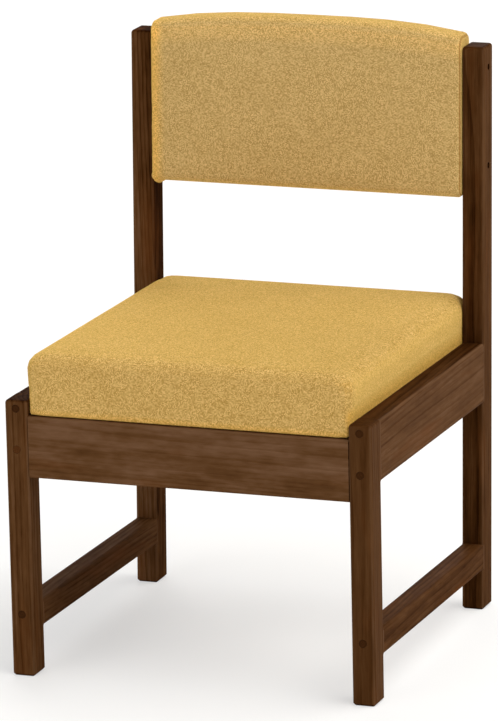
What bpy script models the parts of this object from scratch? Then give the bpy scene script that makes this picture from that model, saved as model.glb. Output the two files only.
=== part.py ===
"""Dining side chair: a solid wood frame with a drop-in upholstered seat and an upholstered back pad.

Metres, +Z up. The chair faces -Y, left is -X. The origin is on the floor, under the middle of the chair.
"""

from math import cos, pi, radians, sin, tan

import bmesh
import bpy
from mathutils import Vector

MM = 0.001

# Legs and posts
overall_width = 533 * MM
leg_spacing = 479 * MM  # front face of a front leg to front face of a rear post, at the floor
leg_width = 33 * MM
leg_depth = 41 * MM
front_leg_height = 396 * MM
rear_post_height = 815 * MM
post_rake = radians(2.3)
seat_pitch = radians(0.65)  # rails and seat fall this much to the back
edge_radius = 4.5 * MM
foot_chamfer = 3 * MM

# Rails and stretchers
side_rail_height = 87 * MM
front_rail_height = 88 * MM
rear_rail_height = 70 * MM
cross_rail_thickness = 33 * MM
cross_rail_setback = 1.5 * MM  # behind the leg's face, front and back
seat_drop = 22 * MM  # top of the side rails down to the top of the cross rails
stretcher_height = 38 * MM
stretcher_level = 64 * MM  # underside, at the front leg
block_leg = 62 * MM
block_tip = 12 * MM
block_height = 42 * MM

# Fasteners
fit_gap = 0.3 * MM
plug_diameter = 11 * MM
plug_length = 7 * MM
plug_margin = 1.5 * MM  # plug's rim to the rounded edge
rail_screw_inset = 17 * MM  # lower side-rail screw above the rail's underside
stretcher_screw_rise = 6 * MM  # above the stretcher's middle
screw_head_diameter = 8.5 * MM
screw_head_height = 4 * MM
screw_shank_diameter = 4.2 * MM
screw_tip_length = 6 * MM
frame_screw_length = 64 * MM
pad_screw_length = 60 * MM
pad_screw_recess = 6 * MM  # open counterbore above the head
seat_screw_length = 48 * MM
seat_screw_clearance = 8 * MM  # axis to the edge of the cover's lip
dowel_diameter = 8 * MM
dowel_rail_depth = 18 * MM
dowel_inset = 22 * MM  # from the rail's top and bottom edges
wood_wall = 2 * MM  # least wood between a dowel and a screw
turned_sides = 14

# Seat
cover_thickness = 1.5 * MM
seat_board_thickness = 12 * MM
seat_thickness = 88.5 * MM  # underside to the top of the shoulder
seat_crown = 5 * MM
seat_shoulder = 22 * MM  # rounding of the top edges
seat_corner = 12 * MM  # upright corners, in plan
seat_corner_growth = 0.2  # they get rounder by this much of the way in over the shoulder
seat_bulge = 5 * MM  # swell of the sides over the side rails
seat_end_bulge = 0.3  # share of it that the front and back swell
seat_bottom_edge = 4 * MM
seat_lip = 18 * MM  # cover turned under the board
seat_front_setback = 6 * MM  # lower front edge behind the legs' front face
seat_rear_setback = 5 * MM  # rear edge before the posts' rear face
seat_pinch = 9 * MM  # length over which the sides draw in before the posts

# Back pad
pad_height = 246.5 * MM  # at mid-width
pad_rise = 30 * MM  # top at mid-width above the posts' tops
pad_thickness = 48 * MM
pad_proud = 9 * MM  # front face before the posts' front
pad_crown = 5 * MM  # swell of the front face
pad_back_crown = 2 * MM
pad_arch = 15 * MM  # fall of the top edge from mid-width to the posts
pad_edge = 13 * MM
pad_end_edge = 5 * MM
pad_board_thickness = 19 * MM
pad_board_margin = 20 * MM  # board inside the pad's lower and upper edges
pad_screw_low = 44.5 * MM  # lower screw above the pad's underside
pad_screw_high = 31 * MM  # upper screw below the post's top

# Mesh fineness
edge_steps = 3
corner_steps = 3
shoulder_steps = 4
crown_steps = 3
pad_steps = 8
face_splits = 3
least_rounding = 0.25  # share of a corner's radius that a moved-in ring keeps
swell_share = 0.8  # of the seat's bulge, half-way up its sides
pad_arch_power = 3
pad_crown_power = 4
sharp_angle = radians(35)
same_place = 0.00001
corner_share = 0.8  # most of a seat ring's half width that a corner takes
pinch_ends = (0.97, 0.99)  # furthest shares of a side for the two points of its pinch
beyond_middle = 0.5  # a box point past this, of -1 to 1, lies on that face

# Places that several pieces share
lean = tan(post_rake)
fall = tan(seat_pitch)
outer_half = overall_width / 2
inner_half = outer_half - leg_width
leg_middle = outer_half - leg_width / 2
post_top_back = leg_spacing + leg_depth + lean * (rear_post_height - edge_radius)
front_y = -post_top_back / 2
rear_y = front_y + leg_spacing
rail_top = front_leg_height
rail_bottom = rail_top - side_rail_height
cross_top = rail_top - seat_drop
stretcher_top = stretcher_level + stretcher_height
bar_spans = ((stretcher_level, stretcher_top), (rail_bottom, rail_top))  # where the side frame's bars butt
plug_radius = plug_diameter / 2
shank_radius = screw_shank_diameter / 2
head_radius = screw_head_diameter / 2
dowel_radius = dowel_diameter / 2
head_recess = plug_length + fit_gap
upper_screw_level = rail_top - edge_radius - plug_margin - plug_radius
lower_screw_level = rail_bottom + rail_screw_inset
stretcher_screw_level = stretcher_level + stretcher_height / 2 + stretcher_screw_rise
post_middle = leg_depth / 2
seat_screw_inset = seat_lip + seat_screw_clearance  # from both walls of the corner block

SIDES = (("left", -1), ("right", 1))


def behind_post(depth, level):
    """Y of a point that lies this deep behind a rear post's front face, at this height."""
    return rear_y + lean * level + depth


def pitched(x, y, level):
    """A point of the seat and its rails, which fall to the back from their level at the legs' front."""
    return Vector((x, y, level - fall * (y - front_y)))


def on_post(x, depth, front_level):
    """Where a pitched line that starts at front_level meets the plane this deep behind a post's front."""
    y = (rear_y + depth + lean * (front_level + fall * front_y)) / (1 + lean * fall)
    return pitched(x, y, front_level)


# Scene helpers


def clear_scene():
    for obj in list(bpy.data.objects):
        bpy.data.objects.remove(obj, do_unlink=True)


def collection(name):
    made = bpy.data.collections.new(name)
    bpy.context.scene.collection.children.link(made)
    return made


def finish(name, colour, roughness, metallic=0.0):
    made = bpy.data.materials.new(name)
    made.use_nodes = True
    shader = made.node_tree.nodes["Principled BSDF"]
    shader.inputs["Base Color"].default_value = (*colour, 1.0)
    shader.inputs["Roughness"].default_value = roughness
    shader.inputs["Metallic"].default_value = metallic
    return made


clear_scene()
parts = collection("dining_side_chair")
cutters = collection("cutters")
chair = bpy.data.objects.new("chair", None)
parts.objects.link(chair)

stained_wood = finish("stained_wood", (0.095, 0.048, 0.022), 0.45)
plug_wood = finish("plug_wood", (0.055, 0.026, 0.013), 0.45)
raw_wood = finish("raw_wood", (0.52, 0.36, 0.20), 0.7)
steel = finish("zinc_steel", (0.60, 0.60, 0.58), 0.35, 1.0)
foam = finish("foam", (0.85, 0.80, 0.62), 0.9)
fabric = finish("woven_fabric", (0.58, 0.36, 0.09), 0.95)


def add_part(name, mesh, material):
    obj = bpy.data.objects.new(name, mesh)
    obj.data.materials.append(material)
    obj.parent = chair
    parts.objects.link(obj)
    return obj


def add_cutter(name, mesh):
    obj = bpy.data.objects.new(name, mesh)
    obj.hide_render = True
    obj.display_type = "WIRE"
    cutters.objects.link(obj)
    return obj


def cut(obj, cutter):
    modifier = obj.modifiers.new(cutter.name, "BOOLEAN")
    modifier.operation = "DIFFERENCE"
    modifier.solver = "EXACT"
    modifier.object = cutter


def to_mesh(bm, name):
    bmesh.ops.recalc_face_normals(bm, faces=bm.faces)
    mesh = bpy.data.meshes.new(name)
    bm.to_mesh(mesh)
    bm.free()
    mesh.shade_smooth()
    mesh.set_sharp_from_angle(angle=sharp_angle)
    return mesh


# Forms


def block(name, corner, rounded=None, joints=(), foot=False):
    """A box whose points corner(x, y, z) places, each of x, y and z running from -1 to 1.

    rounded(axis, middle) picks the edges to round, joints lists the heights (as z) at which that choice
    changes, and foot chamfers the rim of the underside.
    """
    bm = bmesh.new()
    bmesh.ops.create_cube(bm, size=2)
    for height in joints:
        everything = bm.verts[:] + bm.edges[:] + bm.faces[:]
        bmesh.ops.bisect_plane(bm, geom=everything, plane_co=(0, 0, height), plane_no=(0, 0, 1))
    corner_edges = []
    for edge in bm.edges:
        start, end = (vert.co for vert in edge.verts)
        axis = max(range(3), key=lambda i: abs(end[i] - start[i]))
        middle = (start + end) / 2
        on_corner = all(abs(abs(middle[i]) - 1) < same_place for i in range(3) if i != axis)
        if on_corner and rounded is not None and rounded(axis, middle):
            corner_edges.append(edge)
    for vert in bm.verts:
        vert.co = corner(*vert.co)
    if corner_edges:
        bmesh.ops.bevel(
            bm, geom=corner_edges, offset=edge_radius, segments=edge_steps, profile=0.5, affect="EDGES"
        )
    if foot:
        bm.normal_update()
        underside = min(bm.faces, key=lambda face: face.calc_center_median().z)
        bmesh.ops.bevel(bm, geom=underside.edges[:], offset=foot_chamfer, segments=1, affect="EDGES")
    return to_mesh(bm, name)


def loft(name, rings):
    """A closed skin over rings of points, capped at both ends.

    Every four points take the same diagonal, so that skins laid one inside another stay an even gap apart.
    """
    bm = bmesh.new()
    loops = [[bm.verts.new(point) for point in ring] for ring in rings]
    for lower, upper in zip(loops, loops[1:]):
        for i in range(len(lower)):
            bm.faces.new((lower[i - 1], lower[i], upper[i]))
            bm.faces.new((lower[i - 1], upper[i], upper[i - 1]))
    bm.faces.new(loops[0])
    bm.faces.new(loops[-1])
    return to_mesh(bm, name)


def turned(name, profile):
    """The edge chain that a Screw modifier turns about Z, from the axis at the top to the axis below."""
    mesh = bpy.data.meshes.new(name)
    points = [(radius, 0, height) for radius, height in profile]
    mesh.from_pydata(points, [(i, i + 1) for i in range(len(points) - 1)], [])
    return mesh


def turn(obj):
    modifier = obj.modifiers.new("turn", "SCREW")
    modifier.steps = turned_sides
    modifier.render_steps = turned_sides
    modifier.use_merge_vertices = True
    modifier.merge_threshold = same_place
    return obj


def aim(obj, place, outward):
    """Puts a turned piece's top at place, with its axis along outward."""
    obj.location = place
    obj.rotation_mode = "QUATERNION"
    obj.rotation_quaternion = Vector(outward).to_track_quat("Z", "Y")
    return obj


def rounded_rectangle(low, high, radius, splits):
    """Points around a rectangle, anticlockwise from its lower right corner.

    splits lists, for the right, top, left and bottom sides in turn, where along the side more points lie.
    """
    centres = (
        (high[0] - radius, low[1] + radius),
        (high[0] - radius, high[1] - radius),
        (low[0] + radius, high[1] - radius),
        (low[0] + radius, low[1] + radius),
    )
    arcs = []
    for quarter, centre in enumerate(centres):
        angles = [pi / 2 * (quarter - 1 + step / corner_steps) for step in range(corner_steps + 1)]
        arcs.append([Vector((centre[0] + radius * cos(a), centre[1] + radius * sin(a))) for a in angles])
    points = []
    for side, arc in enumerate(arcs):
        following = arcs[(side + 1) % 4][0]
        points += arc
        points += [arc[-1].lerp(following, share) for share in splits[side]]
    return points


def even_shares(count):
    return [step / (count + 1) for step in range(1, count + 1)]


def mirrored(shares):
    return [1 - share for share in reversed(shares)]


# Wooden frame


def cube_height(level, height):
    """A height on a leg, as the -1 to 1 of its box."""
    return 2 * level / height - 1


def make_front_leg(word, side):
    spans = [[level - fall * leg_depth for level in span] for span in bar_spans]

    def corner(x, y, z):
        across = side * leg_middle + x * leg_width / 2
        return Vector((across, front_y + (1 + y) / 2 * leg_depth, (1 + z) / 2 * front_leg_height))

    def rounded(axis, middle):
        level = (1 + middle.z) / 2 * front_leg_height
        if middle.y < beyond_middle:
            return axis == 2 or middle.z > beyond_middle
        if axis == 2:
            return not any(low < level < high for low, high in spans)
        return axis == 1 and middle.z > beyond_middle

    cuts = [cube_height(level, front_leg_height) for span in spans for level in span]
    mesh = block(f"front_leg_{word}", corner, rounded, cuts[:3], foot=True)
    return add_part(f"front_leg_{word}", mesh, stained_wood)


def make_rear_post(word, side):
    spans = [[on_post(0, 0, level).z for level in span] for span in bar_spans]

    def corner(x, y, z):
        level = (1 + z) / 2 * rear_post_height
        across = side * leg_middle + x * leg_width / 2
        return Vector((across, behind_post((1 + y) / 2 * leg_depth, level), level))

    def rounded(axis, middle):
        level = (1 + middle.z) / 2 * rear_post_height
        if axis == 2 and middle.y < -beyond_middle:
            return not any(low < level < high for low, high in spans)
        return axis == 2 or middle.z > beyond_middle

    cuts = [cube_height(level, rear_post_height) for span in spans for level in span]
    mesh = block(f"rear_post_{word}", corner, rounded, cuts, foot=True)
    return add_part(f"rear_post_{word}", mesh, stained_wood)


def make_side_bar(name, side, bottom, top):
    """A bar butted between leg and post, flush with both of their faces."""

    def corner(x, y, z):
        across = side * leg_middle + x * leg_width / 2
        level = top if z > 0 else bottom
        if y < 0:
            return pitched(across, front_y + leg_depth + fit_gap, level)
        return on_post(across, -fit_gap, level)

    mesh = block(name, corner, lambda axis, middle: axis == 1)
    return add_part(name, mesh, stained_wood)


def make_front_rail():
    def corner(x, y, z):
        level = cross_top if z > 0 else cross_top - front_rail_height
        depth = cross_rail_setback + (1 + y) / 2 * cross_rail_thickness
        return pitched(x * (inner_half - fit_gap), front_y + depth, level)

    mesh = block("front_rail", corner, lambda axis, middle: axis == 0)
    return add_part("front_rail", mesh, stained_wood)


def make_rear_rail():
    def corner(x, y, z):
        level = cross_top if z > 0 else cross_top - rear_rail_height
        depth = leg_depth - cross_rail_setback - (1 - y) / 2 * cross_rail_thickness
        return on_post(x * (inner_half - fit_gap), depth, level)

    mesh = block("rear_rail", corner, lambda axis, middle: axis == 0)
    return add_part("rear_rail", mesh, stained_wood)


def block_walls():
    """The inner faces of the front and rear rail, as (name, y at a level, direction into the chair)."""
    front_wall = front_y + cross_rail_setback + cross_rail_thickness
    rear_depth = leg_depth - cross_rail_setback - cross_rail_thickness
    return (
        ("front", lambda level: front_wall + fit_gap, 1),
        ("rear", lambda level: on_post(0, rear_depth - fit_gap, level).y, -1),
    )


def make_corner_block(end, wall, inward, word, side):
    rings = []
    for level in (cross_top - block_height, cross_top):
        x_wall = side * (inner_half - fit_gap)
        y_wall = wall(level)
        shape = ((0, 0), (block_leg, 0), (block_leg, block_tip), (block_tip, block_leg), (0, block_leg))
        rings.append([pitched(x_wall - side * dx, y_wall + inward * dy, level) for dx, dy in shape])
    name = f"corner_block_{end}_{word}"
    return add_part(name, loft(name, rings), stained_wood)


# Fasteners


def screw_profile(length):
    return (
        (0, 0),
        (head_radius, 0),
        (head_radius, -screw_head_height / 2),
        (shank_radius, -screw_head_height),
        (shank_radius, screw_tip_length - length),
        (0, -length),
    )


def screw_hole_profile(length, recess, mouth_radius):
    """Hole for a screw whose head lies recess deep: a counterbore, then a bore past the tip."""
    head_floor = -recess - screw_head_height - fit_gap
    end = -recess - length - fit_gap
    bore = shank_radius + fit_gap
    over = leg_width
    return (
        (0, over),
        (mouth_radius, over),
        (mouth_radius, head_floor),
        (bore, head_floor),
        (bore, end),
        (0, end),
    )


def make_screw(name, surface, outward, recess, mouth_radius, length, pieces):
    """A screw driven in from a surface, and its hole in the pieces that it joins."""
    outward = Vector(outward).normalized()
    screw = turn(add_part(name, turned(name, screw_profile(length)), steel))
    aim(screw, surface - outward * recess, outward)
    hole_profile = screw_hole_profile(length, recess, mouth_radius)
    hole = turn(add_cutter(f"hole_{name}", turned(f"hole_{name}", hole_profile)))
    aim(hole, surface, outward)
    for piece in pieces:
        cut(piece, hole)


def make_plug(name, surface, outward):
    profile = ((0, 0), (plug_radius, 0), (plug_radius, -plug_length), (0, -plug_length))
    aim(turn(add_part(name, turned(name, profile), plug_wood)), surface, outward)


def make_plugged_screw(name, surface, outward, pieces):
    mouth_radius = plug_radius + fit_gap
    make_screw(f"screw_{name}", surface, outward, head_recess, mouth_radius, frame_screw_length, pieces)
    make_plug(f"plug_{name}", surface, outward)


def make_dowel(name, wall, inward, leg, rail):
    """A dowel across a butt joint. wall is on the leg's inner face, inward points into the rail."""
    leg_hole = leg_width / 2 - shank_radius - fit_gap - wood_wall
    length = leg_hole - fit_gap + dowel_rail_depth
    profile = ((0, 0), (dowel_radius, 0), (dowel_radius, -length), (0, -length))
    aim(turn(add_part(name, turned(name, profile), raw_wood)), wall + inward * dowel_rail_depth, inward)
    bore = dowel_radius + fit_gap
    bore_length = length + 2 * fit_gap
    hole_profile = ((0, 0), (bore, 0), (bore, -bore_length), (0, -bore_length))
    hole = turn(add_cutter(f"hole_{name}", turned(f"hole_{name}", hole_profile)))
    aim(hole, wall + inward * (dowel_rail_depth + fit_gap), inward)
    cut(leg, hole)
    cut(rail, hole)


# Seat


seat_half = inner_half - fit_gap
seat_level = cross_top + fit_gap
seat_front = front_y + seat_front_setback
seat_rear = behind_post(leg_depth - seat_rear_setback, cross_top - fall * leg_spacing)
post_line = behind_post(-2 * fit_gap, cross_top - fall * leg_spacing)  # sides are straight behind this
pinch_start = post_line - seat_pinch
foam_offset = cover_thickness + fit_gap
board_top = foam_offset + seat_board_thickness


def seat_side_splits(start, end):
    """Shares of a side's straight stretch: two for the pinch before the posts, and a few ahead of them."""
    places = zip((pinch_start, post_line), pinch_ends)
    pinch = [min(furthest, (place - start) / (end - start)) for place, furthest in places]
    return [pinch[0] * share for share in even_shares(face_splits)] + pinch


def seat_ring(inset, bulge, height):
    half = seat_half - inset
    radius = min(seat_corner + seat_corner_growth * inset, half * corner_share) + bulge
    end_bulge = bulge * seat_end_bulge
    low = (-half - bulge, seat_front + inset - end_bulge)
    high = (half + bulge, seat_rear - inset + end_bulge)
    shares = seat_side_splits(low[1] + radius, high[1] - radius)
    ends = even_shares(face_splits)
    outline = rounded_rectangle(low, high, radius, (shares, ends, mirrored(shares), ends))
    ring = []
    for x, y in outline:
        room = min(1, max(0, (post_line - y) / seat_pinch))
        limit = half + bulge * room
        ring.append(pitched(min(limit, max(-limit, x)), y, seat_level + height))
    return ring


def seat_rings(offset, from_height):
    """Rings of the seat's surface, moved inward by offset, from a height above its underside to the crown."""
    shoulder_level = seat_thickness - seat_shoulder
    swell_level = (seat_drop + shoulder_level) / 2
    rings = []
    if from_height < seat_bottom_edge + offset:
        rings.append(seat_ring(offset + seat_bottom_edge, 0, from_height))
        from_height += seat_bottom_edge
    rings.append(seat_ring(offset, 0, from_height))
    rings.append(seat_ring(offset, 0, seat_drop))
    rings.append(seat_ring(offset, seat_bulge * swell_share, swell_level))
    for step in range(shoulder_steps + 1):
        angle = pi / 2 * step / shoulder_steps
        inset = seat_shoulder - (seat_shoulder - offset) * cos(angle)
        height = shoulder_level + (seat_shoulder - offset) * sin(angle)
        rings.append(seat_ring(inset, seat_bulge * cos(angle), height))
    for step in range(1, crown_steps + 1):
        share = step / (crown_steps + 1)
        inset = seat_shoulder + share * (seat_half - seat_shoulder)
        height = seat_thickness - offset + seat_crown * (1 - (1 - share) ** 2)
        rings.append(seat_ring(inset, 0, height))
    return rings


def make_seat():
    cover = add_part("seat_cover", loft("seat_cover", seat_rings(0, 0)), fabric)
    hollow = loft("hollow_seat_cover", seat_rings(cover_thickness, cover_thickness))
    cut(cover, add_cutter("hollow_seat_cover", hollow))
    mouth = [seat_ring(seat_lip, 0, height) for height in (-cover_thickness, 2 * cover_thickness)]
    cut(cover, add_cutter("mouth_seat_cover", loft("mouth_seat_cover", mouth)))

    board_rings = (
        seat_ring(foam_offset + seat_bottom_edge, 0, foam_offset),
        seat_ring(foam_offset, 0, foam_offset + seat_bottom_edge),
        seat_ring(foam_offset, 0, board_top),
    )
    board = add_part("seat_board", loft("seat_board", board_rings), raw_wood)
    add_part("seat_foam", loft("seat_foam", seat_rings(foam_offset, board_top + fit_gap)), foam)
    return board


# Back pad


pad_half = inner_half - fit_gap
pad_top = rear_post_height + pad_rise
pad_bottom = pad_top - pad_height
pad_middle = pad_thickness / 2 - pad_proud


def pad_ring(x, offset, end_inset):
    """The pad's section at x, moved inward by offset and drawn in further by end_inset near the posts."""
    inset = offset + end_inset
    share = abs(x) / pad_half
    low = pad_bottom + inset
    high = pad_top - pad_arch * share**pad_arch_power - inset
    front = inset - pad_proud
    back = pad_thickness - pad_proud - inset
    radius = max(pad_edge - inset, pad_edge * least_rounding)
    faces = even_shares(face_splits)
    outline = rounded_rectangle((front, low), (back, high), radius, (faces, [], faces, []))
    fullness = 1 - share**pad_crown_power
    ring = []
    for depth, level in outline:
        along = 2 * (level - low) / (high - low) - 1
        swell = pad_back_crown if depth > pad_middle else -pad_crown
        depth += swell * fullness * (1 - along**2)
        ring.append(Vector((x, behind_post(depth, level), level)))
    return ring


def pad_rings(offset):
    half = pad_half - offset
    edge = pad_end_edge - offset
    straight = half - edge
    stations = []
    for step in range(corner_steps):
        angle = pi / 2 * (1 - step / corner_steps)
        stations.append((straight + edge * sin(angle), edge * (1 - cos(angle))))
    left = [pad_ring(-x, offset, end_inset) for x, end_inset in stations]
    right = [pad_ring(x, offset, end_inset) for x, end_inset in reversed(stations)]
    middle = [pad_ring(straight * (2 * step / pad_steps - 1), offset, 0) for step in range(pad_steps + 1)]
    return left + middle + right


def pad_board_corner(clearance, half):
    low = pad_bottom + pad_board_margin
    high = pad_top - pad_arch - pad_board_margin

    def corner(x, y, z):
        level = high + clearance if z > 0 else low - clearance
        depth = post_middle + y * (pad_board_thickness / 2 + clearance)
        return Vector((x * half, behind_post(depth, level), level))

    return corner


def make_back_pad():
    cover = add_part("pad_cover", loft("pad_cover", pad_rings(0)), fabric)
    cut(cover, add_cutter("hollow_pad_cover", loft("hollow_pad_cover", pad_rings(cover_thickness))))
    filling = add_part("pad_foam", loft("pad_foam", pad_rings(foam_offset)), foam)
    slot = block("slot_pad_foam", pad_board_corner(fit_gap, outer_half))
    cut(filling, add_cutter("slot_pad_foam", slot))
    board = block("pad_board", pad_board_corner(0, pad_half - foam_offset))
    return cover, add_part("pad_board", board, raw_wood)


# Assembly


def join_side_frame(word, side, front_leg, rear_post, rail, stretcher):
    """Three plugged screws through the leg and three through the post, into rail and stretcher."""
    joints = (
        ("rail_high", upper_screw_level, rail),
        ("rail_low", lower_screw_level, rail),
        ("stretcher", stretcher_screw_level, stretcher),
    )
    for joint, level, bar in joints:
        front_surface = Vector((side * leg_middle, front_y, level))
        make_plugged_screw(f"front_{word}_{joint}", front_surface, (0, -1, 0), (front_leg, bar))
        rear_surface = on_post(side * leg_middle, leg_depth, level)
        make_plugged_screw(f"rear_{word}_{joint}", rear_surface, (0, 1, -lean), (rear_post, bar))


def join_cross_rail(end, rail, rail_height, legs, place):
    for word, side in SIDES:
        levels = (("low", cross_top - rail_height + dowel_inset), ("high", cross_top - dowel_inset))
        for name, level in levels:
            wall = place(side * inner_half, level)
            make_dowel(f"dowel_{end}_{word}_{name}", wall, Vector((-side, 0, 0)), legs[word], rail)


def hang_back_pad(posts, cover, board):
    for word, side in SIDES:
        levels = (("low", pad_bottom + pad_screw_low), ("high", rear_post_height - pad_screw_high))
        for name, level in levels:
            surface = Vector((side * outer_half, behind_post(post_middle, level), level))
            make_screw(
                f"pad_screw_{word}_{name}",
                surface,
                (side, 0, 0),
                pad_screw_recess,
                head_radius + fit_gap,
                pad_screw_length,
                (posts[word], cover, board),
            )


def screw_down_seat(board):
    for end, wall, inward in block_walls():
        for word, side in SIDES:
            corner_block = make_corner_block(end, wall, inward, word, side)
            bottom = cross_top - block_height
            x = side * (inner_half - fit_gap - seat_screw_inset)
            surface = pitched(x, wall(bottom) + inward * seat_screw_inset, bottom)
            make_screw(
                f"seat_screw_{end}_{word}",
                surface,
                (0, 0, -1),
                0,
                head_radius + fit_gap,
                seat_screw_length,
                (corner_block, board),
            )


def main():
    front_legs = {}
    rear_posts = {}
    for word, side in SIDES:
        front_legs[word] = make_front_leg(word, side)
        rear_posts[word] = make_rear_post(word, side)
        rail = make_side_bar(f"side_rail_{word}", side, rail_bottom, rail_top)
        stretcher = make_side_bar(f"side_stretcher_{word}", side, stretcher_level, stretcher_top)
        join_side_frame(word, side, front_legs[word], rear_posts[word], rail, stretcher)

    def in_front_leg(x, level):
        return pitched(x, front_y + post_middle, level)

    def in_rear_post(x, level):
        return on_post(x, post_middle, level)

    join_cross_rail("front", make_front_rail(), front_rail_height, front_legs, in_front_leg)
    join_cross_rail("rear", make_rear_rail(), rear_rail_height, rear_posts, in_rear_post)

    screw_down_seat(make_seat())
    cover, board = make_back_pad()
    hang_back_pad(rear_posts, cover, board)


main()
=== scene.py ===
from math import cos, pi, radians, sin, tan

import bmesh
import bpy
import numpy as np
from mathutils import Matrix, Vector
from mathutils.bvhtree import BVHTree


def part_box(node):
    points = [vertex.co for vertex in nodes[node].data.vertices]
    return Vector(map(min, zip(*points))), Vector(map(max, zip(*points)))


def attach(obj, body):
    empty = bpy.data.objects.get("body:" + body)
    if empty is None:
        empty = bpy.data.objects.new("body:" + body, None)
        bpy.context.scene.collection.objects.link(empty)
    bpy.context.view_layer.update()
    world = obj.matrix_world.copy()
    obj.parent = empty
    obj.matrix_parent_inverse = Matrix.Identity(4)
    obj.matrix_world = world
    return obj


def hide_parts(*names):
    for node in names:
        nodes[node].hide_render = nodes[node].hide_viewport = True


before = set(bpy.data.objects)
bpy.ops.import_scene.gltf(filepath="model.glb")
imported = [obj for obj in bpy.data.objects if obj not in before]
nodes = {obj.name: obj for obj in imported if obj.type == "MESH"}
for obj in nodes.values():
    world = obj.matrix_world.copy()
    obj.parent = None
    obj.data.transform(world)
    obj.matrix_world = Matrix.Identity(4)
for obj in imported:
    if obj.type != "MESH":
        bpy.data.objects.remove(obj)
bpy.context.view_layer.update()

MM = 0.001
scene = bpy.context.scene

# Shared shape of the chair, as in the part's source
lean = tan(radians(2.3))  # posts, backward for each metre of height
fall = tan(radians(0.65))  # rails and seat, downward for each metre to the back
inner_half = -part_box("front_leg_left")[1].x  # from the middle to a leg's inner face
seat_drop = 22 * MM  # side rails stand this much above the seat's underside
pad_arch = 15 * MM  # fall of the pad's top edge from its middle to its ends
pad_arch_power = 3

# Camera, as the photograph was taken
camera_azimuth = radians(20.35)
camera_elevation = radians(14.31)
camera_roll = radians(-1.24)
camera_distance = 8.471
camera_target = Vector((0.0059, -0.0369, 0.4110))
camera_sensor = 36.0
camera_lens = 303.1
camera_far = 100


# Node helpers


class Shader:
    """A material's node tree, with short ways to add and join nodes."""

    def __init__(self, name):
        self.material = bpy.data.materials.new(name)
        self.material.use_nodes = True
        self.tree = self.material.node_tree
        self.surface = self.tree.nodes["Principled BSDF"]

    def add(self, kind, inputs=(), **settings):
        """Adds a node. inputs maps a socket's name or number to a value or to another node's output."""
        made = self.tree.nodes.new(f"ShaderNode{kind}")
        for setting, value in settings.items():
            setattr(made, setting, value)
        for socket, value in dict(inputs).items():
            self.feed(made.inputs[socket], value)
        return made

    def feed(self, socket, value):
        if isinstance(value, bpy.types.NodeSocket):
            self.tree.links.new(value, socket)
        else:
            socket.default_value = value

    def place(self):
        return self.add("TexCoord").outputs["Object"]

    def normal(self):
        return self.add("NewGeometry").outputs["Normal"]

    def math(self, operation, first, second=0.0, clamp=False):
        made = self.add("Math", {0: first, 1: second}, operation=operation, use_clamp=clamp)
        return made.outputs[0]

    def vector(self, operation, first, second=(0, 0, 0)):
        made = self.add("VectorMath", {0: first, 1: second}, operation=operation)
        return made.outputs["Value" if operation in ("DOT_PRODUCT", "LENGTH") else "Vector"]

    def combine(self, x, y, z=0.0):
        return self.add("CombineXYZ", {0: x, 1: y, 2: z}).outputs[0]

    def separate(self, vector):
        return self.add("SeparateXYZ", {0: vector}).outputs

    def spread(self, value, low, high, to_low=0.0, to_high=1.0, smooth=False):
        """Maps low to high onto to_low to to_high, and holds the ends beyond."""
        kind = "SMOOTHSTEP" if smooth else "LINEAR"
        inputs = {"Value": value, "From Min": low, "From Max": high, "To Min": to_low, "To Max": to_high}
        return self.add("MapRange", inputs, interpolation_type=kind).outputs["Result"]

    def weigh(self, first, first_share, second, second_share):
        """Two values times their shares, added up."""
        first_part = self.math("MULTIPLY", first, first_share)
        second_part = self.math("MULTIPLY", second, second_share)
        return self.math("ADD", first_part, second_part)

    def either(self, first, second, share):
        """The first value where share is 0, the second where it is 1."""
        return self.weigh(first, self.math("SUBTRACT", 1.0, share), second, share)

    def largest(self, first, *others):
        for other in others:
            first = self.math("MAXIMUM", first, other)
        return first

    def vary(self, value, parts):
        """Adds to a value how far each part lies from its middle, times that part's share."""
        for part, share in parts:
            value = self.math("ADD", value, self.math("MULTIPLY", self.math("SUBTRACT", part, 0.5), share))
        return value

    def noise(self, vector, rates, detail=2.0, roughness=0.5):
        """Noise that changes at its own rate along each axis."""
        scaled = self.vector("MULTIPLY", vector, rates)
        inputs = {"Vector": scaled, "Scale": 1.0, "Detail": detail, "Roughness": roughness}
        return self.add("TexNoise", inputs).outputs["Fac"]

    def ramp(self, value, stops):
        made = self.add("ValToRGB", {"Fac": value})
        elements = made.color_ramp.elements
        while len(elements) < len(stops):
            elements.new(1.0)
        for element, (position, colour) in zip(elements, stops):
            element.position = position
            element.color = (*colour, 1.0)
        return made.outputs["Color"]

    def mix(self, share, first, second, blend="MIX"):
        made = self.add("Mix", data_type="RGBA", blend_type=blend)
        for socket, value in (("Factor_Float", share), ("A_Color", first), ("B_Color", second)):
            found = next(s for s in made.inputs if s.identifier == socket)
            if isinstance(value, tuple):
                value = (*value, 1.0)
            self.feed(found, value)
        return next(s for s in made.outputs if s.identifier == "Result_Color")

    def bump(self, height, distance, strength):
        inputs = {"Height": height, "Distance": distance, "Strength": strength}
        return self.add("Bump", inputs).outputs["Normal"]

    def set(self, **inputs):
        for name, value in inputs.items():
            self.feed(self.surface.inputs[name.replace("_", " ").title().replace("Ior", "IOR")], value)


def paint(obj, *materials):
    obj.data.materials.clear()
    for material in materials:
        obj.data.materials.append(material)


# Stained wood

# Axes of a piece's own grain frame: across, through and along, as rows that shear with rake and pitch
bar_axes = ((1, 0, 0), (0, fall, 1), (0, 1, 0))
AXES = {
    "leg": ((1, 0, 0), (0, 1, 0), (0, 0, 1)),
    "post": ((1, 0, 0), (0, 1, -lean), (0, 0, 1)),
    "side bar": bar_axes,
    "stretcher": bar_axes,
    "cross rail": ((0, 1, -lean), (0, fall, 1), (1, 0, 0)),
}

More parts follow.
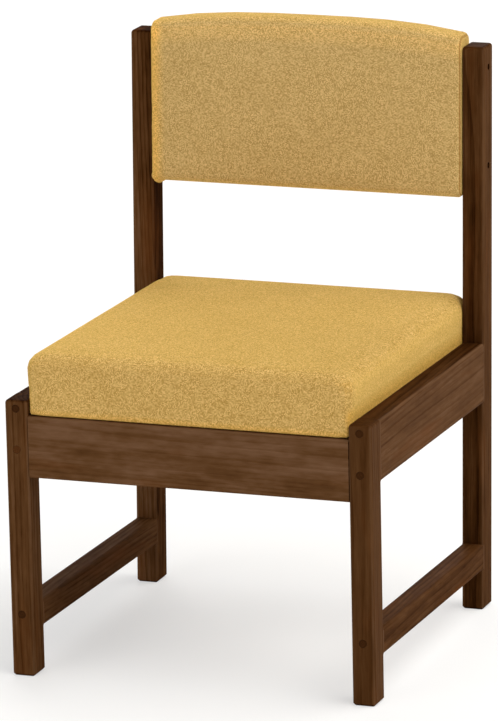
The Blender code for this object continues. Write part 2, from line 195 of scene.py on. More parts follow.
# Rates, here and for the other materials, say how often a pattern changes in a metre along each axis.
# For stained wood the axes are those of its grain.
seed_step = (0.37, 0.91, 1.73)  # from one piece's figure to the next
noise_span = (0.2, 0.8)  # where most of a noise's values lie
fine_detail = 3.0

ring_spacing = 6.5 * MM
slow_waver = 34 * MM
slow_waver_rates = (9, 9, 1.6)
quick_waver = 2.2 * MM
quick_waver_rates = (60, 60, 7)
late_wood_start = 0.35  # share of a ring's width
late_wood_end = 0.95
faintest_ring = 0.25
ring_darkness = 0.22

fibre_rates = (620, 620, 14)
fibre_break = 0.6
fibre_share = 0.24

# Other parts of the figure: rates, detail, and share in the shade
fine_figure = (
    ((800, 800, 45), 2.0, 0.28),  # pores
    ((330, 330, 6), 2.0, 0.26),  # threads
    ((150, 150, 3.2), 2.0, 0.30),  # streaks
)
broad_figure = (
    ((45, 45, 9), 3.0, 0.60),  # clouds
    ((130, 130, 45), 2.0, 0.28),  # blotches
)

stain_stops = (
    (0.00, (0.020, 0.0058, 0.0009)),
    (0.30, (0.058, 0.0218, 0.0058)),
    (0.60, (0.100, 0.0440, 0.0158)),
    (1.00, (0.165, 0.0860, 0.0460)),
)
warm_colour = (0.130, 0.042, 0.010)
warm_rates = (28.6, 28.6, 5.2)
warm_span = (0.56, 0.78)
warm_share = 0.45

# Lighter long edges: real wear, and on the cross and side rails a painted highlight too
wear_and_highlight_colour = (0.180, 0.100, 0.054)
wear_and_highlight_rates = (90, 90, 14)
wear_and_highlight_span = (0.3, 0.7)
edge_band = 4.5 * MM
rubbing_and_highlight = {  # least and most that the long edges are rubbed and lightened: wear, with a painted highlight on the cross and side rails
    "leg": (0.15, 0.55),
    "post": (0.15, 0.55),
    "side bar": (0.25, 0.75),
    "stretcher": (0.05, 0.35),
    "cross rail": (0.45, 0.95),
}

wood_roughness = (0.52, 0.66)
ring_roughness = 0.06
wood_relief = 0.4 * MM
wood_relief_strength = 0.30
wood_gloss = 0.012
wood_gloss_tint = (1.0, 0.80, 0.60, 1.0)


def reach(obj, axis):
    """Lowest and highest place of a mesh along an axis."""
    along = [Vector(axis).dot(vert.co) for vert in obj.data.vertices]
    return min(along), max(along)


def stained_wood(name, seed, kind, tone_and_face_shade, fine, broad, pith, tilt, shade_slope, gloss):
    """Softwood with growth rings about a pith that runs beside the piece, tilted a little to its grain.

    The tones given for the faces that look sideways, to the front or back, and up or down hold the stain's
    own tone; how those faces differ is painted shade and painted light, darker where a face lies in shade and
    lighter where it is lit. The slope is painted shade too, changing from the piece's middle outward and
    darker towards where the chair shades it. fine and broad say how strongly the lines and the clouds of its
    figure show.
    """
    obj = nodes[name]
    shader = Shader(f"stained_wood_{name}")
    place = shader.place()
    ends = [reach(obj, axis) for axis in AXES[kind]]
    middles = [(low + high) / 2 for low, high in ends]
    halves = [(high - low) / 2 for low, high in ends]
    across, through, along = (
        shader.math("SUBTRACT", shader.vector("DOT_PRODUCT", place, axis), middle)
        for axis, middle in zip(AXES[kind], middles)
    )
    own = shader.combine(across, through, along)
    shifted = shader.vector("ADD", own, [seed * step for step in seed_step])

    # Growth rings, wavering along the grain
    slow = shader.noise(shifted, slow_waver_rates, detail=1.0)
    quick = shader.noise(shifted, quick_waver_rates)
    waver = shader.weigh(slow, slow_waver, quick, quick_waver)
    drift = shader.math("MULTIPLY", along, tilt)
    from_pith = shader.combine(
        shader.math("ADD", shader.math("SUBTRACT", across, pith[0]), drift),
        shader.math("SUBTRACT", through, pith[1]),
    )
    radius = shader.math("ADD", shader.vector("LENGTH", from_pith), waver)
    count = shader.math("DIVIDE", radius, ring_spacing)
    within = shader.math("FRACT", count)
    number = shader.math("FLOOR", count)
    year = shader.add("TexWhiteNoise", {"W": number}, noise_dimensions="1D").outputs["Value"]
    late = shader.spread(within, late_wood_start, late_wood_end, smooth=True)
    early_again = shader.spread(within, late_wood_end, 1.0)
    line = shader.math("SUBTRACT", late, early_again, clamp=True)
    line = shader.math("MULTIPLY", line, shader.spread(year, 0, 1, faintest_ring, 1.0))

    # Lightness from the rings and the figure, with painted shade and painted light by the place on the piece
    # and the way the face looks
    fibre = shader.noise(shifted, fibre_rates, fine_detail, fibre_break)
    parts = [(fibre, fibre_share * fine)]
    for figure, strength in ((fine_figure, fine), (broad_figure, broad)):
        parts += [(shader.noise(shifted, rates, detail), share * strength) for rates, detail, share in figure]
    shade = shader.vary(shader.math("MULTIPLY", line, -ring_darkness * fine), parts)
    # Painted shade: lighter or darker across and along the piece
    if any(shade_slope):
        changes = [change / half for change, half in zip(shade_slope, halves)]
        shade = shader.math("ADD", shade, shader.vector("DOT_PRODUCT", own, changes))
    # Painted shade and painted light: each way a face looks gets its own lightness
    normal = shader.normal()
    facing = shader.vector("MULTIPLY", normal, normal)
    shade = shader.math("ADD", shade, shader.vector("DOT_PRODUCT", facing, tone_and_face_shade))
    colour = shader.ramp(shade, stain_stops)
    warmth = shader.spread(shader.noise(shifted, warm_rates), *warm_span, 0.0, warm_share)
    colour = shader.mix(warmth, colour, warm_colour)

    # Lighter long edges: rubbed wear, and on the rails also a painted highlight where the rounded edge
    # catches light
    near = [
        shader.spread(shader.math("ABSOLUTE", part), half - edge_band, half, smooth=True)
        for part, half in zip((across, through), halves)
    ]
    edge = shader.math("MULTIPLY", near[0], near[1])
    patchy = shader.spread(shader.noise(shifted, wear_and_highlight_rates, fine_detail), *wear_and_highlight_span, *rubbing_and_highlight[kind])
    colour = shader.mix(shader.math("MULTIPLY", edge, patchy), colour, wear_and_highlight_colour)

    rough = shader.spread(fibre, *noise_span, *wood_roughness)
    rough = shader.math("ADD", rough, shader.math("MULTIPLY", line, ring_roughness))
    height = shader.weigh(fibre, 0.5, line, -0.5)
    shader.set(base_color=colour, roughness=rough)
    shader.set(normal=shader.bump(height, wood_relief, wood_relief_strength))
    shader.set(specular_ior_level=gloss, specular_tint=wood_gloss_tint)
    paint(obj, shader.material)


# Plugs, bare wood and steel

plug_stops = (
    (0.15, (0.024, 0.0085, 0.0022)),
    (0.55, (0.046, 0.0165, 0.0048)),
    (0.95, (0.072, 0.0280, 0.0090)),
)
plug_pore_rates = (900, 900, 900)
plug_pore_share = 0.6
plug_ring_rates = (330, 0, 140)
plug_ring_share = 0.15
plug_rim_colour = (0.018, 0.006, 0.0015)
plug_rim_start = 0.34  # share of the plug's width, from its middle
plug_rim_end = 0.50
plug_roughness = (0.52, 0.68)

bare_fibre_rates = (40, 900, 900)
bare_figure_rates = (4, 40, 40)
bare_stops = ((0.25, (0.36, 0.22, 0.11)), (0.5, (0.52, 0.36, 0.20)), (0.75, (0.64, 0.47, 0.29)))
bare_roughness = (0.6, 0.8)

raw_relief = 0.3 * MM  # of plugs and bare wood
raw_relief_strength = 0.4

steel_rates = (2500, 2500, 2500)
steel_span = (0.3, 0.7)
steel_tones = ((0.20, 0.20, 0.19), (0.34, 0.335, 0.31))
steel_roughness = (0.38, 0.55)


def end_grain(label, names, lightness, rim_share):
    """Stained plugs: end grain with a dark glued rim."""
    shader = Shader(label)
    inside = shader.add("TexCoord").outputs["Generated"]
    place = shader.place()
    x, _, z = shader.separate(shader.vector("SUBTRACT", inside, (0.5, 0.5, 0.5)))
    rim = shader.vector("LENGTH", shader.combine(x, 0.0, z))
    pores = shader.noise(place, plug_pore_rates, fine_detail)
    rings = shader.math("FRACT", shader.vector("DOT_PRODUCT", place, plug_ring_rates))
    shade = shader.weigh(pores, plug_pore_share, rings, plug_ring_share)
    stops = [(position, [lightness * channel for channel in colour]) for position, colour in plug_stops]
    dark_rim = shader.spread(rim, plug_rim_start, plug_rim_end, 0.0, rim_share, smooth=True)
    colour = shader.mix(dark_rim, shader.ramp(shade, stops), plug_rim_colour)
    shader.set(base_color=colour, roughness=shader.spread(pores, *noise_span, *plug_roughness))
    shader.set(normal=shader.bump(pores, raw_relief, raw_relief_strength))
    shader.set(specular_ior_level=wood_gloss, specular_tint=wood_gloss_tint)
    for name in names:
        paint(nodes[name], shader.material)


def bare_wood():
    """Plywood and dowels inside the chair."""
    shader = Shader("bare_wood")
    place = shader.place()
    fibre = shader.noise(place, bare_fibre_rates, fine_detail)
    figure = shader.noise(place, bare_figure_rates, fine_detail)
    colour = shader.ramp(shader.weigh(fibre, 0.5, figure, 0.5), bare_stops)
    shader.set(base_color=colour, roughness=shader.spread(fibre, *noise_span, *bare_roughness))
    shader.set(normal=shader.bump(fibre, raw_relief, raw_relief_strength))
    return shader.material


def zinc_steel():
    """Dull plated screws."""
    shader = Shader("zinc_steel")
    brushed = shader.noise(shader.place(), steel_rates, fine_detail)
    colour = shader.ramp(brushed, list(zip(steel_span, steel_tones)))
    rough = shader.spread(brushed, *steel_span, *steel_roughness)
    shader.set(base_color=colour, roughness=rough, metallic=1.0)
    return shader.material


# Upholstery fabric

thread_pitch = 1.5 * MM
seat_yarn = (0.584, 0.370, 0.114)
pad_yarn = (0.578, 0.390, 0.148)
yarn_steps = ((0.05, -0.178), (0.30, -0.065), (0.50, 0.0), (0.72, 0.056), (0.95, 0.143))
display_gain = 1.055  # the sRGB display curve
display_offset = 0.055
display_power = 2.4

end_facing = 0.7  # a surface that looks sideways by more than this is an end
top_facing = 0.7  # and one that looks up or down by more is a top
turned_facing = 0.15  # backward times upward, beyond which the weave runs down the back
yarn_dip = 0.45  # how far a yarn sinks towards its neighbours
weave_middle = 0.55
weave_share = 0.16
stitch_share = 0.62
# Rates of runs, patches and fuzz are for each stitch, not for each metre
run_across_rates = (0.45, 1.3, 1)
run_upward_rates = (1.3, 0.45, 1)
run_break = 0.6
run_share = 0.42
patch_rates = (0.02, 0.02, 1)
patch_share = 0.14
fuzz_rates = (3, 3, 3)
fuzz_share = 0.25
top_contrast = 0.4  # more on tops

painted_light_tint = (1.34, 1.18, 0.79)  # what painted light multiplies the cloth's colours by, lighter and warmer
bend_span = (0.505, 0.56)  # of Blender's pointiness, from flat to a rounded edge
bend_highlight_share = 0.55
seat_edge_span = (3 * MM, 12 * MM)  # above the seat's underside, from fully lightened to unchanged
seat_edge_brightening = 0.5
over_rail_span = (2 * MM, 26 * MM)  # above the side rails
over_rail_facing = (0.4, 0.9)
over_rail_light = 0.9
pad_end_span = (3 * MM, 24 * MM)  # from the pad's left end
pad_top_facing = (0.3, 0.9)
pad_top_light = 0.35
highlight_fade_span = (16 * MM, 8 * MM)  # from the pad's right end, where rounded edges get no painted highlight

crest_light_tint = (1.28, 1.21, 1.07)  # what the painted light near the pad's top multiplies its colours by
crest_light_span = (38 * MM, 10 * MM)  # below the pad's top edge
crest_light_facing = (0.10, 0.50)

seam_colour = (0.330, 0.140, 0.025)
seam_inset = 0.9 * MM
seam_width = 0.9 * MM
seam_share = 0.8
stitch_pitch = 4 * MM
stitch_gap = (0.08, 0.16)  # share of the pitch
stitch_gap_share = 0.55

cloth_relief = 0.9 * MM
cloth_relief_strength = 0.55
cloth_roughness = (0.95, 0.82)
cloth_gloss = 0.06
cloth_sheen = 0.9
cloth_sheen_roughness = 0.45
cloth_sheen_tint = (1.0, 0.66, 0.15, 1.0)


def yarn_stops(yarn):
    """Colours of the flecks: the yarn's own, lighter or darker by the same step in each display channel."""
    stops = []
    for position, step in yarn_steps:
        shown = [display_gain * channel ** (1 / display_power) - display_offset + step for channel in yarn]
        colour = [((channel + display_offset) / display_gain) ** display_power for channel in shown]
        stops.append((position, colour))
    return stops


def seat_painted_light(shader, place, bend_highlight):
    """Where the seat's cloth is lighter and warmer: painted light most over the side rails, less as a painted
    highlight on bends, and a lighter band along its lower edge.
    """
    low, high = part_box("seat_cover")
    underside = low.z + fall * high.y
    rail = underside + seat_drop
    level = shader.vector("DOT_PRODUCT", place, (0, fall, 1))
    edge_low, edge_high = (underside + rise for rise in seat_edge_span)
    at_edge = shader.spread(level, edge_low, edge_high, seat_edge_brightening, 0.0, smooth=True)
    rail_low, rail_high = (rail + rise for rise in over_rail_span)
    over_rail = shader.spread(level, rail_low, rail_high, 1.0, 0.0, smooth=True)
    aside = shader.math("ABSOLUTE", shader.separate(shader.normal())[0])
    on_side = shader.spread(aside, *over_rail_facing, 0.0, over_rail_light, smooth=True)
    return shader.largest(bend_highlight, at_edge, shader.math("MULTIPLY", over_rail, on_side))


def pad_painted_light(shader, place, bend_highlight):
    """Where painted light makes the pad's cloth lighter and warmer: most along its left end, less as a
    painted highlight on bends and over its top.
    """
    left, right = (corner.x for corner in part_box("pad_cover"))
    across = shader.separate(place)[0]
    end_low, end_high = (left + inset for inset in pad_end_span)
    at_end = shader.spread(across, end_low, end_high, 1.0, 0.0, smooth=True)
    up = shader.separate(shader.normal())[2]
    over_top = shader.spread(up, *pad_top_facing, 0.0, pad_top_light, smooth=True)
    slack_low, slack_high = (right - inset for inset in highlight_fade_span)
    faded_bend_highlight = shader.math("MULTIPLY", bend_highlight, shader.spread(across, slack_low, slack_high, 1.0, 0.0))
    return shader.largest(faded_bend_highlight, at_end, over_top)


def pad_crest_light(shader, place):
    """Painted light on the pad's cloth: lighter more and more towards its arched top edge, less where the
    cloth looks up.
    """
    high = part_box("pad_cover")[1]
    across, _, height = shader.separate(place)
    aside = shader.math("DIVIDE", shader.math("ABSOLUTE", across), high.x)
    fallen = shader.math("MULTIPLY", shader.math("POWER", aside, pad_arch_power), pad_arch)
    start, end = (high.z - drop for drop in crest_light_span)
    near_top = shader.spread(shader.math("ADD", height, fallen), start, end)
    up = shader.separate(shader.normal())[2]
    return shader.math("MULTIPLY", near_top, shader.spread(up, *crest_light_facing, 1.0, 0.0))


def pad_seam(shader, place):
    """The sewn line at the right end of the pad, with a thread every few millimetres."""
    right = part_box("pad_cover")[1].x
    across, depth, height = shader.separate(place)
    off_line = shader.math("ABSOLUTE", shader.math("SUBTRACT", across, right - seam_inset))
    line = shader.spread(off_line, seam_width / 2, seam_width, seam_share, 0.0, smooth=True)
    along = shader.math("FRACT", shader.math("DIVIDE", shader.math("ADD", height, depth), stitch_pitch))
    thread = shader.spread(shader.math("PINGPONG", along, 0.5), *stitch_gap, stitch_gap_share, 1.0)
    return shader.math("MULTIPLY", line, thread)


def tweed(name, yarn, painted_light, crest_light=None, seam=None):
    """Plain weave of flecked yarns: one set runs across, the other up the front, over and down the back."""
    shader = Shader(name)
    spot = shader.place()
    x, y, z = shader.separate(spot)
    normal = shader.normal()
    toward = shader.separate(normal)
    facing = shader.separate(shader.vector("ABSOLUTE", normal))
    is_end = shader.math("GREATER_THAN", facing[0], end_facing)
    is_top = shader.math("GREATER_THAN", facing[2], top_facing)
    is_turned = shader.math("GREATER_THAN", shader.math("MULTIPLY", toward[1], toward[2]), turned_facing)

    # Places counted in stitches
    front_length = shader.math("ADD", z, y)
    back_length = shader.math("SUBTRACT", z, y)
    length = shader.either(front_length, back_length, is_turned)
    across = shader.math("DIVIDE", shader.either(x, y, is_end), thread_pitch)
    upward = shader.math("DIVIDE", shader.either(length, z, is_end), thread_pitch)
    surface = shader.combine(across, upward)
    cells = [shader.math("FLOOR", part) for part in (across, upward)]

    # Yarns that go over and under each other
    humps = [
        shader.math("SINE", shader.math("MULTIPLY", shader.math("FRACT", part), pi))
        for part in (across, upward)
    ]
    low_humps = [shader.math("ADD", shader.math("MULTIPLY", hump, yarn_dip), 1 - yarn_dip) for hump in humps]
    warp = shader.math("MULTIPLY", humps[0], low_humps[1])
    weft = shader.math("MULTIPLY", humps[1], low_humps[0])
    odd = shader.math("PINGPONG", shader.math("ADD", cells[0], cells[1]), 1.0)
    weave = shader.either(warp, weft, odd)

    # Flecks: single stitches, runs of a few stitches along either yarn, and broad patches
    cell = shader.combine(cells[0], cells[1])
    stitch = shader.add("TexWhiteNoise", {"Vector": cell}, noise_dimensions="2D").outputs["Value"]
    run_across = shader.noise(surface, run_across_rates, roughness=run_break)
    run_upward = shader.noise(surface, run_upward_rates, roughness=run_break)
    patch = shader.noise(surface, patch_rates)
    flecks = ((stitch, stitch_share), (run_across, run_share), (run_upward, run_share), (patch, patch_share))
    shade = shader.math("MULTIPLY", shader.math("SUBTRACT", weave, weave_middle), weave_share)
    shade = shader.vary(shade, flecks)
    contrast = shader.math("ADD", shader.math("MULTIPLY", is_top, top_contrast), 1.0)
    shade = shader.math("ADD", shader.math("MULTIPLY", shade, contrast), 0.5)
    colour = shader.ramp(shade, yarn_stops(yarn))

    # Painted light, painted light near the pad's top, and sewn places
    bend = shader.add("NewGeometry").outputs["Pointiness"]
    # Painted highlight on bends and rounded edges
    bend_highlight = shader.spread(bend, *bend_span, 0.0, bend_highlight_share, smooth=True)
    # Painted light: cloth lighter and warmer on bends, over the side rails, along the seat's lower edge and
    # at the pad's left end
    colour = shader.mix(painted_light(shader, spot, bend_highlight), colour, painted_light_tint, "MULTIPLY")
    if crest_light:
        # Painted light near the pad's top edge, where its front would catch light from above
        colour = shader.mix(crest_light(shader, spot), colour, crest_light_tint, "MULTIPLY")
    height = shader.weigh(weave, 1 - fuzz_share, shader.noise(surface, fuzz_rates), fuzz_share)
    if seam:
        sewn = seam(shader, spot)
        colour = shader.mix(sewn, colour, seam_colour)
        height = shader.math("SUBTRACT", height, sewn)

    shader.set(base_color=colour, roughness=shader.spread(weave, 0, 1, *cloth_roughness))
    shader.set(normal=shader.bump(height, cloth_relief, cloth_relief_strength))
    shader.set(specular_ior_level=cloth_gloss)
    shader.set(sheen_weight=cloth_sheen, sheen_roughness=cloth_sheen_roughness, sheen_tint=cloth_sheen_tint)
    return shader.material


# Padded forms

voxel = 5 * MM
weld = 0.01 * MM
cloth_frames = 14
cloth_pressure = 4.0
cloth_quality = 5
cloth_mass = 0.3
cloth_stretch_stiffness = 12
cloth_shear_stiffness = 4
cloth_bending_stiffness = 0.6
start_inset = 1.5 * MM  # the cloth starts this far inside the CAD cover
cloth_reach = 3.5 * MM  # and moves out by this much at most
most_swell = 0.9 * MM  # that a finished cover stands off its CAD form
snug_swell = 0.15 * MM  # the same, where wood stands beside it
least_swell = 0.05 * MM
snug_band = 8 * MM
soften_factor = 0.5
soften_rounds = 5
last_soften_rounds = 2
cushion_fill = 0.9
lip_width = 18 * MM  # cover turned in under the seat board
lip_step = 1.5 * MM
seat_corner = 12 * MM  # rounding of the seat's upright corners, in plan
seat_edge = 6 * MM  # and of its lower edge
corner_power = 6  # squares them up below the top of the side rails: 2 is round
corner_fade = 20 * MM
fold_width = 14 * MM  # of the cloth tucked under at the pad's lower left corner
fold_peak = 9 * MM
fold_rise = 14 * MM
fold_drop = 5 * MM
fold_reach = 2 * MM


def fade(values, low, high):
    """A smooth step, from 0 at low to 1 at high."""
    share = np.clip((values - low) / (high - low), 0, 1)
    return share * share * (3 - 2 * share)


def new_piece(name, bm):
    mesh = bpy.data.meshes.new(name)
    bm.to_mesh(mesh)
    bm.free()
    piece = bpy.data.objects.new(name, mesh)
    scene.collection.objects.link(piece)
    return piece


def coordinates(mesh):
    values = np.empty(len(mesh.vertices) * 3, np.float32)
    mesh.vertices.foreach_get("co", values)
    return values.reshape(-1, 3).astype(float)


def move_points(piece, points):
    piece.data.vertices.foreach_set("co", points.astype(np.float32).ravel())
    piece.data.update()


def closed_skin(cover):
    """A cover's outer surface, closed over its mouth and its screw holes."""
    bm = bmesh.new()
    bm.from_mesh(nodes[cover].data)
    bmesh.ops.remove_doubles(bm, verts=bm.verts, dist=weld)
    bm.normal_update()
    tree = BVHTree.FromBMesh(bm)
    low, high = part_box(cover)
    middle = (low + high) / 2
    inner = []
    for face in bm.faces:
        place = face.calc_center_median()
        hidden = tree.ray_cast(place + face.normal * weld, face.normal)[0] is not None
        if hidden or face.normal.dot(place - middle) < 0:
            inner.append(face)
    bmesh.ops.delete(bm, geom=inner, context="FACES")
    rims = [edge for edge in bm.edges if edge.is_boundary]
    bmesh.ops.holes_fill(bm, edges=rims)
    bmesh.ops.recalc_face_normals(bm, faces=bm.faces)
    return bm


def apply_modifiers(piece):
    shown = piece.evaluated_get(bpy.context.evaluated_depsgraph_get())
    mesh = bpy.data.meshes.new_from_object(shown)
    piece.modifiers.clear()
    piece.data = mesh


def remesh(piece):
    modifier = piece.modifiers.new("remesh", "REMESH")
    modifier.mode = "VOXEL"
    modifier.voxel_size = voxel
    apply_modifiers(piece)


def inflate(piece, held):
    """Swells a piece as cloth under pressure, from a slightly smaller form. held marks points that stay."""
    rest = coordinates(piece.data)
    normals = np.empty(rest.size, np.float32)
    piece.data.vertices.foreach_get("normal", normals)
    rest -= normals.reshape(-1, 3) * (start_inset * ~held)[:, None]
    move_points(piece, rest)
    group = piece.vertex_groups.new(name="held")
    group.add(np.flatnonzero(held).tolist(), 1.0, "REPLACE")
    modifier = piece.modifiers.new("cloth", "CLOTH")
    settings = modifier.settings
    settings.quality = cloth_quality
    settings.mass = cloth_mass
    settings.tension_stiffness = cloth_stretch_stiffness
    settings.compression_stiffness = cloth_stretch_stiffness
    settings.shear_stiffness = cloth_shear_stiffness
    settings.bending_stiffness = cloth_bending_stiffness
    settings.use_pressure = True
    settings.uniform_pressure_force = cloth_pressure
    settings.vertex_group_mass = "held"
    settings.effector_weights.gravity = 0.0
    modifier.point_cache.frame_start = 1
    modifier.point_cache.frame_end = cloth_frames
    for step in range(1, cloth_frames + 1):
        scene.frame_set(step)
    shown = piece.evaluated_get(bpy.context.evaluated_depsgraph_get())
    moved = coordinates(shown.data) - rest
    piece.modifiers.clear()
    piece.vertex_groups.clear()
    scene.frame_set(1)
    length = np.linalg.norm(moved, axis=1)
    share = np.minimum(1.0, cloth_reach / np.maximum(length, weld))
    move_points(piece, rest + moved * share[:, None])


def soften(piece, rounds):
    modifier = piece.modifiers.new("soften", "SMOOTH")
    modifier.factor = soften_factor
    modifier.iterations = rounds
    apply_modifiers(piece)


def refine(piece):
    modifier = piece.modifiers.new("refine", "SUBSURF")
    modifier.levels = 1
    modifier.render_levels = 1
    apply_modifiers(piece)


def fit_outside(piece, skin, room):
    """Keeps each point between the CAD cover's skin and as far off it as room gives for that place."""
    points = coordinates(piece.data)
    for i, most in enumerate(room(points)):
        point = Vector(points[i])
        place, normal = skin.find_nearest(point)[:2]
        gap = (point - place).dot(normal)
        points[i] = point + normal * (min(max(gap, least_swell), most) - gap)
    move_points(piece, points)


def upholster(name, cover, is_held, room):
    """A cushion that keeps its CAD cover's form or a fuller one."""
    bm = closed_skin(cover)
    skin = BVHTree.FromBMesh(bm)
    piece = new_piece(name, bm)
    remesh(piece)
    inflate(piece, is_held(coordinates(piece.data)))
    soften(piece, soften_rounds)
    fit_outside(piece, skin, room)
    refine(piece)
    soften(piece, last_soften_rounds)
    fit_outside(piece, skin, room)
    piece.data.shade_smooth()
    return piece


def above_underside(points):
    """Height above the seat's pitched underside."""
    low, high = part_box("seat_cover")
    return points[:, 2] - low.z + fall * (points[:, 1] - high.y)


def seat_is_held(points):
    return above_underside(points) < voxel / 2


def seat_room(points):
    """How far the seat's cover may stand off its CAD form: little beside the rails and between the posts."""
    rise = above_underside(points)
    post_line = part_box("side_rail_right")[1].y
    open_side = fade(rise, seat_drop, seat_drop + snug_band)
    open_side *= 1 - fade(points[:, 1], post_line - snug_band, post_line)
    aside = fade(np.abs(points[:, 0]), inner_half - snug_band, inner_half - snug_band / 2)
    free = (1 - aside * (1 - open_side)) * fade(rise, 0, voxel)
    return snug_swell + (most_swell - snug_swell) * free


def pad_is_held(points):
    return np.zeros(len(points), bool)


def pad_room(points):
    """How far the pad's cover may stand off its CAD form: little at its ends, between the posts."""
    free = 1 - fade(np.abs(points[:, 0]), inner_half - snug_band, inner_half)
    return snug_swell + (most_swell - snug_swell) * free


def square_up(points, first, second, size, share):
    """Draws a rounded edge out towards a sharp one.

    first and second are the two walls that meet there: each gives an axis, the way along it that is outward,
    and how far out the wall is. size is the edge's rounding.
    """
    over = []
    for axis, way, wall in (first, second):
        over.append(np.clip(1 - (wall - points[:, axis] * way) / size, 0, 1))
    over = np.column_stack(over)
    inside = over.min(axis=1) > 0
    part = over[inside]
    grow = np.linalg.norm(part, axis=1) / np.linalg.norm(part, ord=corner_power, axis=1)
    moved = np.minimum(part * grow[:, None], 1) - part
    moved *= (size * share[inside])[:, None]
    for (axis, way, _), step in zip((first, second), moved.T):
        points[inside, axis] += way * step


def sharpen_seat(piece):
    """Squares up the seat's lower front corners and its lower edges at the front and sides."""
    points = coordinates(piece.data)
    rise = above_underside(points)
    level = points[:, 2] - rise
    points[:, 2] = rise
    low = points[rise < seat_drop]
    half = np.abs(low[:, 0]).max()
    front = -low[:, 1].min()
    below_rails = 1 - fade(rise, seat_drop, seat_drop + corner_fade)
    for side in (-1, 1):
        square_up(points, (0, side, half), (1, -1, front), seat_corner, below_rails)
    for wall in ((0, -1, half), (0, 1, half), (1, -1, front)):
        square_up(points, wall, (2, -1, -rise.min()), seat_edge, below_rails)
    points[:, 2] += level
    move_points(piece, points)


def make_seat(fabric, board):
    piece = upholster("seat_cushion", "seat_cover", seat_is_held, seat_room)
    sharpen_seat(piece)

    # The board's underside shows inside the turned-in lip
    points = coordinates(piece.data)
    low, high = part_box("seat_board")
    inside = np.abs(points[:, 0]) < high.x - lip_width
    inside &= (points[:, 1] > low.y + lip_width) & (points[:, 1] < high.y - lip_width)
    under = inside & (above_underside(points) < voxel)
    points[under, 2] += lip_step
    move_points(piece, points)
    paint(piece, fabric, board)
    for face in piece.data.polygons:
        face.material_index = int(all(under[i] for i in face.vertices))
    finish_soft(piece, cushion_fill, "seat_cover", "seat_foam", "seat_board")


def make_pad(fabric):
    piece = upholster("back_pad", "pad_cover", pad_is_held, pad_room)
    tuck_corner(piece)
    paint(piece, fabric)
    finish_soft(piece, cushion_fill, "pad_cover", "pad_foam", "pad_board")


def tuck_corner(piece):
    """The fold of cloth that hangs a little at the pad's lower left front corner."""
    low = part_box("pad_cover")[0]
    points = coordinates(piece.data)
    from_end = points[:, 0] - low.x
    before_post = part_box("rear_post_left")[0].y + lean * points[:, 2] - points[:, 1]
    height = points[:, 2] - low.z
    hang = fade(from_end, fold_peak - fold_width, fold_peak) * fade(from_end, fold_width, fold_peak)
    bulge = fade(from_end, fold_width, fold_width / 2) * fade(height, fold_rise, fold_rise / 2)
    points[:, 2] -= fold_drop * hang * fade(height, fold_rise, 0)
    points[:, 0] -= fold_reach * bulge * fade(before_post, 0, fold_reach * 2)
    move_points(piece, points)


def finish_soft(piece, fill, *replaced):
    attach(piece, "root")
    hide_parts(*replaced)


# Camera, floor and light


def place_camera():
    data = bpy.data.cameras.new("camera")
    data.sensor_width = camera_sensor
    data.lens = camera_lens
    data.clip_end = camera_far
    back = Vector((
        sin(camera_azimuth) * cos(camera_elevation),
        -cos(camera_azimuth) * cos(camera_elevation),
        sin(camera_elevation),
    ))
    right = Vector((cos(camera_azimuth), sin(camera_azimuth), 0))
    up = back.cross(right)
    turned_right = right * cos(camera_roll) + up * sin(camera_roll)
    turned_up = up * cos(camera_roll) - right * sin(camera_roll)
    camera = bpy.data.objects.new("camera", data)
    placing = Matrix((turned_right, turned_up, back)).transposed().to_4x4()
    placing.translation = camera_target + back * camera_distance
    camera.matrix_world = placing
    scene.collection.objects.link(camera)
    scene.camera = camera


floor_half = 30
floor_segments = 8
floor_drop = 0.1 * MM  # below the feet
floor_rates = (3, 3, 3)
floor_stops = ((0.3, (0.90, 0.90, 0.90)), (0.7, (0.93, 0.93, 0.93)))
floor_roughness = 0.9
floor_gloss = 0.1
floor_glow = 0.5  # share of plain white in the floor as the camera sees it


def lay_floor():
    bm = bmesh.new()
    bmesh.ops.create_grid(bm, x_segments=floor_segments, y_segments=floor_segments, size=floor_half)
    floor = new_piece("floor", bm)
    floor.location.z = -floor_drop
    shader = Shader("pale_floor")
    colour = shader.ramp(shader.noise(shader.place(), floor_rates, fine_detail), floor_stops)
    shader.set(base_color=colour, roughness=floor_roughness, specular_ior_level=floor_gloss)
    seen = shader.math("MULTIPLY", shader.add("LightPath").outputs["Is Camera Ray"], floor_glow)
    glow = shader.add("Emission", {"Strength": 1.0}).outputs[0]
    both = shader.add("MixShader", {0: seen, 1: shader.surface.outputs[0], 2: glow}).outputs[0]
    shader.feed(shader.tree.nodes["Material Output"].inputs["Surface"], both)
    paint(floor, shader.material)


surround_strength = 0.225
surround_colour = (1.0, 1.0, 1.0, 1.0)
lamp_distance = 3
lamps = (  # name, where the light comes from, strength, width in degrees, colour
    ("key", (0.58, 0.05, 0.95), 2.95, 65, (1.0, 0.97, 0.92)),
    ("fill", (-0.40, -1.00, 0.45), 0.78, 50, (1.0, 0.98, 0.95)),
    ("rim", (-0.45, 1.00, 0.60), 1.05, 40, (1.0, 0.98, 0.95)),
)


def shine(name, source, strength, width, colour):
    """A soft directional light that comes from the direction source."""
    data = bpy.data.lights.new(name, "SUN")
    data.energy = strength
    data.angle = radians(width)
    data.color = colour
    light = bpy.data.objects.new(name, data)
    light.rotation_euler = Vector(source).to_track_quat("Z", "Y").to_euler()
    light.location = Vector(source) * lamp_distance
    scene.collection.objects.link(light)


